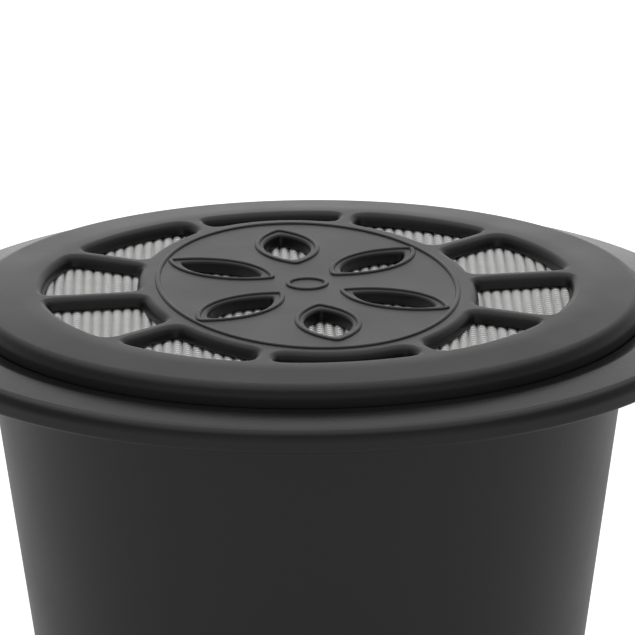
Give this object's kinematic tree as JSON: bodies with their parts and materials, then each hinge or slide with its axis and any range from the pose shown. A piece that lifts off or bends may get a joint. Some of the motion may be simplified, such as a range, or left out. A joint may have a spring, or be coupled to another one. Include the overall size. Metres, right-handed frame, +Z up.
{
  "type": "coffee pod",
  "caption": "Refillable single-serve coffee pod: a tapered black plastic cup with a flange, a slotted lift-off lid and a woven steel filter disc under it.",
  "frame": {"origin": "centre of the nose's flat rest face, on the pod's axis", "axes": "+Z up along the pod's axis, from the nose to the lid; -Y towards the viewer of the picture"},
  "size_m": [0.037, 0.037, 0.0297],
  "materials": {
    "cup_plastic": "black satin moulded polypropylene",
    "lid_plastic": "black satin moulded polypropylene",
    "filter_steel": "bright woven stainless wire"
  },
  "bodies": {
    "cup_body": {"cup": "cup_plastic"},
    "lid_body": {"lid": "lid_plastic", "lid_mesh": "filter_steel"}
  },
  "joints": [
    {"name": "lid_lift", "type": "slide", "parent": "cup_body", "child": "lid_body", "axis": [0, 0, 1], "range_m": [0, 0.03]}
  ]
}
